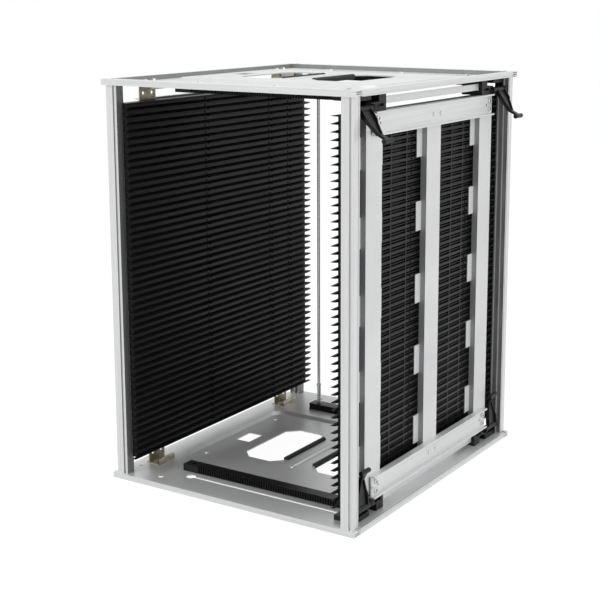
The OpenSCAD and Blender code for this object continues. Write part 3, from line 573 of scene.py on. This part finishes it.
def seen_ray(tree, path):
    """1 for rays from the camera and for rays that a mirror or a pane sends on."""
    total = path.outputs["Is Camera Ray"]
    for ray in ("Is Glossy Ray", "Is Transmission Ray"):
        either = tree.nodes.new("ShaderNodeMath")
        either.operation = "MAXIMUM"
        tree.links.new(total, either.inputs[0])
        tree.links.new(path.outputs[ray], either.inputs[1])
        total = either.outputs[0]
    return total


def studio_floor():
    mesh = bpy.data.meshes.new("floor")
    corners = [(-1, -1), (1, -1), (1, 1), (-1, 1)]
    mesh.from_pydata([(x * FLOOR_HALF, y * FLOOR_HALF, 0) for x, y in corners], [], [(0, 1, 2, 3)])
    floor = bpy.data.objects.new("floor", mesh)
    scene.collection.objects.link(floor)
    finish, tree, shader = new_finish("floor white", 0.0, 0.9)
    shader.inputs["Base Color"].default_value = (0.9, 0.9, 0.9, 1)
    glow = tree.nodes.new("ShaderNodeEmission")
    glow.inputs["Strength"].default_value = GLOW
    path = tree.nodes.new("ShaderNodeLightPath")
    share = tree.nodes.new("ShaderNodeMath")
    share.operation = "MULTIPLY"
    share.inputs[1].default_value = GLOW_SHARE
    blend = tree.nodes.new("ShaderNodeMixShader")
    tree.links.new(seen_ray(tree, path), share.inputs[0])
    tree.links.new(share.outputs[0], blend.inputs["Fac"])
    tree.links.new(shader.outputs["BSDF"], blend.inputs[1])
    tree.links.new(glow.outputs["Emission"], blend.inputs[2])
    tree.links.new(blend.outputs["Shader"], tree.nodes["Material Output"].inputs["Surface"])
    mesh.materials.append(finish)
    return floor


floor = studio_floor()
print("floor", floor.dimensions[:])

# %% World and lamps
world = bpy.data.worlds.new("studio")
scene.world = world
world.use_nodes = True
tree = world.node_tree
tree.nodes.clear()
out = tree.nodes.new("ShaderNodeOutputWorld")
room = tree.nodes.new("ShaderNodeBackground")
white = tree.nodes.new("ShaderNodeBackground")
white.inputs["Color"].default_value = (1, 1, 1, 1)
sky = tree.nodes.new("ShaderNodeTexCoord")
split = tree.nodes.new("ShaderNodeSeparateXYZ")
tree.links.new(sky.outputs["Generated"], split.inputs["Vector"])
tree.links.new(ramp(tree, split.outputs["Z"], [(0.0, 0.5), (0.3, 0.34), (1.0, 0.62)]),
               room.inputs["Color"])
room.inputs["Strength"].default_value = 0.7
path = tree.nodes.new("ShaderNodeLightPath")
blend = tree.nodes.new("ShaderNodeMixShader")
tree.links.new(seen_ray(tree, path), blend.inputs["Fac"])
tree.links.new(room.outputs["Background"], blend.inputs[1])
tree.links.new(white.outputs["Background"], blend.inputs[2])
tree.links.new(blend.outputs["Shader"], out.inputs["Surface"])


def soft_lamp(name, place, target, size, power):
    """A rectangular lamp of a size in metres and a power in watts, turned to its target."""
    lamp = bpy.data.lights.new(name, "AREA")
    lamp.shape = "RECTANGLE"
    lamp.size, lamp.size_y = size
    lamp.energy = power
    obj = bpy.data.objects.new(name, lamp)
    scene.collection.objects.link(obj)
    aim = Vector(target) - Vector(place)
    obj.matrix_world = Matrix.Translation(place) @ aim.to_track_quat("-Z", "Y").to_matrix().to_4x4()
    return obj


soft_lamp("key", (-1.6, -2.6, 2.2), (0, 0, 0.25), (1.6, 1.6), 38)
soft_lamp("side", (2.8, -0.4, 1.6), (0, 0, 0.3), (1.4, 1.8), 25)
soft_lamp("top", (0.2, 0.4, 2.8), (0, 0, 0.3), (2.2, 2.2), 19)

# %% [markdown]
# ## Camera
# A long lens from the front right, a little above the top. The optical axis meets the picture
# off its middle, which is a small shift, as the picture is a crop of a larger one.

# %% Camera
PICTURE = 600
lens_px, centre_px = 1294.9, (330.0, 240.0)
turn, tilt = 0.563, 0.189           # radians, from straight in and from level
camera_place = (0.9922, -1.5425, 0.6770)
camera_data = bpy.data.cameras.new("camera")
camera_data.sensor_width = 36.0
camera_data.lens = camera_data.sensor_width * lens_px / PICTURE
camera_data.shift_x = (PICTURE / 2 - centre_px[0]) / PICTURE
camera_data.shift_y = (centre_px[1] - PICTURE / 2) / PICTURE
camera_data.clip_end = 50.0
camera = bpy.data.objects.new("camera", camera_data)
scene.collection.objects.link(camera)
view = Vector((-math.sin(turn) * math.cos(tilt), math.cos(turn) * math.cos(tilt), -math.sin(tilt)))
camera.matrix_world = (Matrix.Translation(camera_place)
                       @ view.to_track_quat("-Z", "Y").to_matrix().to_4x4())
scene.camera = camera
scene.view_settings.view_transform = "Standard"
print("lens %.1f mm, shift %.3f %.3f" % (camera_data.lens, camera_data.shift_x, camera_data.shift_y))
